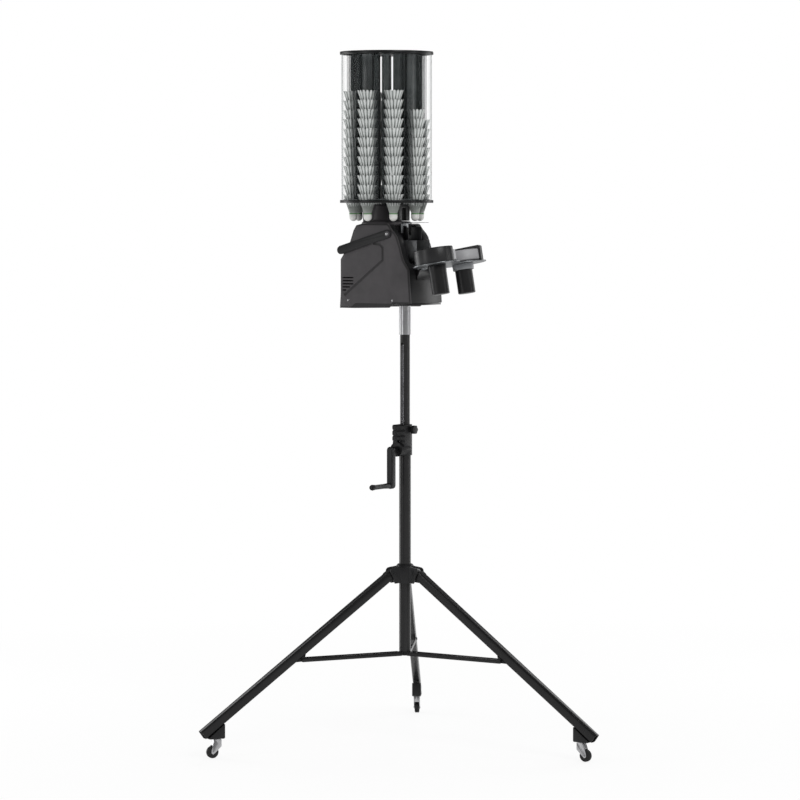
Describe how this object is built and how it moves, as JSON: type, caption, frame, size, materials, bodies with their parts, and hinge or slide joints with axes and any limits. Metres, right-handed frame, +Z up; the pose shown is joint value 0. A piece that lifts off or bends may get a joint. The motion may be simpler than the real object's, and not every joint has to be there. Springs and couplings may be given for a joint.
{
  "type": "badminton serving machine",
  "caption": "Serving machine for badminton: a wind-up tripod on casters carries a swivelling head with a turning shuttle magazine, a claw and tilting launch wheels",
  "frame": {"origin": "Centre of the bounding box seen from above, on the floor under the casters", "axes": "+X is the way the shuttles leave, +Y the machine's left, +Z up"},
  "size_m": [1.0669, 1.2308, 2.182],
  "materials": {
    "black_paint": "satin black paint",
    "black_plastic": "matt black moulded plastic",
    "grey_shell": "fine textured dark grey",
    "guard_grey": "satin dark grey",
    "steel": "brushed",
    "sheet_metal": "bent sheet",
    "wheel_grey": "light grey",
    "clear_plastic": "clear",
    "channel_grey": "smoked",
    "feather": "white feathers and cork",
    "rubber": "black tyre"
  },
  "bodies": {
    "base": {"lower_pole": "black_paint", "pole_plug": "black_plastic", "crank_housing": "black_plastic"},
    "hub": {"leg_hub": "black_plastic"},
    "gear": {"drive_gear": "steel"},
    "crank": {"crank_arm": "black_plastic"},
    "grip": {"crank_grip": "black_plastic"},
    "knob": {"lock_knob": "black_plastic"},
    "mast": {"mast_tube": "black_paint", "mast_rack": "steel", "top_sleeve": "steel"},
    "head": {"base_plate": "black_paint", "side_panel_left": "grey_shell", "side_panel_right": "grey_shell", "rear_cover": "grey_shell", "top_cover": "grey_shell", "front_frame": "grey_shell", "drop_chute": "black_plastic", "claw_guide": "black_plastic", "guide_trough": "sheet_metal", "tilt_bracket": "black_plastic"},
    "handle": {"carry_handle": "black_plastic"},
    "switch": {"power_switch": "black_plastic"},
    "claw": {"claw_carriage": "sheet_metal"},
    "jaw_left": {"claw_jaw_left": "steel"},
    "jaw_right": {"claw_jaw_right": "steel"},
    "magazine": {"magazine_base": "grey_shell", "magazine_top": "grey_shell", "magazine_cylinder": "clear_plastic", "magazine_channels": "channel_grey", "shuttle_stack_0": "feather", "shuttle_stack_1": "feather", "shuttle_stack_2": "feather", "shuttle_stack_3": "feather", "shuttle_stack_4": "feather", "shuttle_stack_5": "feather", "shuttle_stack_6": "feather", "shuttle_stack_7": "feather"},
    "launcher": {"launcher_plate": "sheet_metal", "wheel_guard_left": "guard_grey", "wheel_guard_right": "guard_grey", "launch_motor_left": "black_plastic", "launch_motor_right": "black_plastic"},
    "launch_wheel_l": {"launch_wheel_left": "wheel_grey"},
    "launch_wheel_r": {"launch_wheel_right": "wheel_grey"},
    "leg_front": {"leg_tube_front": "black_paint", "foot_block_front": "black_plastic"},
    "strut_front": {"strut_front": "black_paint"},
    "caster_front": {"caster_fork_front": "black_plastic"},
    "wheel_front": {"caster_wheel_front": "rubber"},
    "leg_left": {"leg_tube_left": "black_paint", "foot_block_left": "black_plastic"},
    "strut_left": {"strut_left": "black_paint"},
    "caster_left": {"caster_fork_left": "black_plastic"},
    "wheel_left": {"caster_wheel_left": "rubber"},
    "leg_right": {"leg_tube_right": "black_paint", "foot_block_right": "black_plastic"},
    "strut_right": {"strut_right": "black_paint"},
    "caster_right": {"caster_fork_right": "black_plastic"},
    "wheel_right": {"caster_wheel_right": "rubber"}
  },
  "joints": [
    {"name": "mast_lift", "type": "slide", "parent": "base", "child": "mast", "axis": [0, 0, 1], "range_m": [-0.27, 0.25]},
    {"name": "gear_spin", "type": "hinge", "parent": "base", "child": "gear", "pos_m": [-0.17085, -0.024, 0.951], "axis": [1, 0, 0], "range_deg": [-1550, 1435]},
    {"name": "crank_turn", "type": "hinge", "parent": "base", "child": "crank", "pos_m": [-0.17085, -0.06, 0.935], "axis": [0, -1, 0], "range_deg": [-7740, 7165]},
    {"name": "grip_spin", "type": "hinge", "parent": "crank", "child": "grip", "pos_m": [-0.17085, -0.14, 0.824], "axis": [0, -1, 0], "continuous": true},
    {"name": "knob_turn", "type": "hinge", "parent": "base", "child": "knob", "pos_m": [-0.13685, 0, 0.996], "axis": [1, 0, 0], "range_deg": [-720, 0]},
    {"name": "hub_slide", "type": "slide", "parent": "base", "child": "hub", "axis": [0, 0, 1], "range_m": [-0.1868, 0]},
    {"name": "leg_front_fold", "type": "hinge", "parent": "hub", "child": "leg_front", "pos_m": [-0.12585, 0, 0.543], "axis": [0, 1, 0], "range_deg": [0, 46.2]},
    {"name": "strut_front_fold", "type": "hinge", "parent": "base", "child": "strut_front", "pos_m": [-0.15085, 0, 0.287], "axis": [0, 1, 0], "range_deg": [0, 80]},
    {"name": "caster_front_swivel", "type": "hinge", "parent": "leg_front", "child": "caster_front", "pos_m": [0.47743, 0, 0.05], "axis": [0, 0, 1], "continuous": true},
    {"name": "wheel_front_roll", "type": "hinge", "parent": "caster_front", "child": "wheel_front", "pos_m": [0.49243, 0, 0.019], "axis": [0, 1, 0], "continuous": true},
    {"name": "leg_left_fold", "type": "hinge", "parent": "hub", "child": "leg_left", "pos_m": [-0.19335, 0.03897, 0.543], "axis": [-0.866, -0.5, 0], "range_deg": [0, 46.2]},
    {"name": "strut_left_fold", "type": "hinge", "parent": "base", "child": "strut_left", "pos_m": [-0.18085, 0.01732, 0.287], "axis": [-0.866, -0.5, 0], "range_deg": [0, 80]},
    {"name": "caster_left_swivel", "type": "hinge", "parent": "leg_left", "child": "caster_left", "pos_m": [-0.49499, 0.56143, 0.05], "axis": [0, 0, 1], "continuous": true},
    {"name": "wheel_left_roll", "type": "hinge", "parent": "caster_left", "child": "wheel_left", "pos_m": [-0.50249, 0.57442, 0.019], "axis": [-0.866, -0.5, 0], "continuous": true},
    {"name": "leg_right_fold", "type": "hinge", "parent": "hub", "child": "leg_right", "pos_m": [-0.19335, -0.03897, 0.543], "axis": [0.866, -0.5, 0], "range_deg": [0, 46.2]},
    {"name": "strut_right_fold", "type": "hinge", "parent": "base", "child": "strut_right", "pos_m": [-0.18085, -0.01732, 0.287], "axis": [0.866, -0.5, 0], "range_deg": [0, 80]},
    {"name": "caster_right_swivel", "type": "hinge", "parent": "leg_right", "child": "caster_right", "pos_m": [-0.49499, -0.56143, 0.05], "axis": [0, 0, 1], "continuous": true},
    {"name": "wheel_right_roll", "type": "hinge", "parent": "caster_right", "child": "wheel_right", "pos_m": [-0.50249, -0.57442, 0.019], "axis": [0.866, -0.5, 0], "continuous": true},
    {"name": "head_swivel", "type": "hinge", "parent": "mast", "child": "head", "pos_m": [-0.17085, 0, 1.4], "axis": [0, 0, 1], "range_deg": [-30, 30]},
    {"name": "handle_lift", "type": "hinge", "parent": "head", "child": "handle", "pos_m": [-0.17385, 0, 1.612], "axis": [0, 1, 0], "range_deg": [0, 23]},
    {"name": "switch_rock", "type": "hinge", "parent": "head", "child": "switch", "pos_m": [-0.34835, 0, 1.44], "axis": [0, 1, 0], "range_deg": [-6, 6]},
    {"name": "claw_slide", "type": "slide", "parent": "head", "child": "claw", "axis": [0, 0, 1], "range_m": [-0.036, 0.03]},
    {"name": "jaw_left_open", "type": "hinge", "parent": "claw", "child": "jaw_left", "pos_m": [-0.16885, 0.014, 1.6467], "axis": [0, 0, 1], "range_deg": [0, 12]},
    {"name": "jaw_right_open", "type": "hinge", "parent": "claw", "child": "jaw_right", "pos_m": [-0.16885, -0.014, 1.6467], "axis": [0, 0, 1], "range_deg": [-12, 0]},
    {"name": "magazine_turn", "type": "hinge", "parent": "head", "child": "magazine", "pos_m": [-0.23985, 0, 1.704], "axis": [0, 0, 1], "continuous": true},
    {"name": "launcher_tilt", "type": "hinge", "parent": "head", "child": "launcher", "pos_m": [-0.08885, 0, 1.503], "axis": [0, 1, 0], "range_deg": [-25, 25]},
    {"name": "launch_wheel_left_spin", "type": "hinge", "parent": "launcher", "child": "launch_wheel_l", "pos_m": [-0.0074, 0.0745, 1.53919], "axis": [-0.1736, 0, 0.9848], "continuous": true},
    {"name": "launch_wheel_right_spin", "type": "hinge", "parent": "launcher", "child": "launch_wheel_r", "pos_m": [-0.0074, -0.0745, 1.53919], "axis": [-0.1736, 0, 0.9848], "continuous": true}
  ],
  "couplings": [
    {"joint": "gear_spin", "follows": "mast_lift", "rad_per_m": 100},
    {"joint": "crank_turn", "follows": "mast_lift", "rad_per_m": 500},
    {"joint": "jaw_right_open", "follows": "jaw_left_open", "ratio": -1},
    {"joint": "leg_front_fold", "follows": "hub_slide", "rad_per_m": -4.3159},
    {"joint": "strut_front_fold", "follows": "hub_slide", "rad_per_m": -7.4668},
    {"joint": "leg_left_fold", "follows": "hub_slide", "rad_per_m": -4.3159},
    {"joint": "strut_left_fold", "follows": "hub_slide", "rad_per_m": -7.4668},
    {"joint": "leg_right_fold", "follows": "hub_slide", "rad_per_m": -4.3159},
    {"joint": "strut_right_fold", "follows": "hub_slide", "rad_per_m": -7.4668}
  ]
}
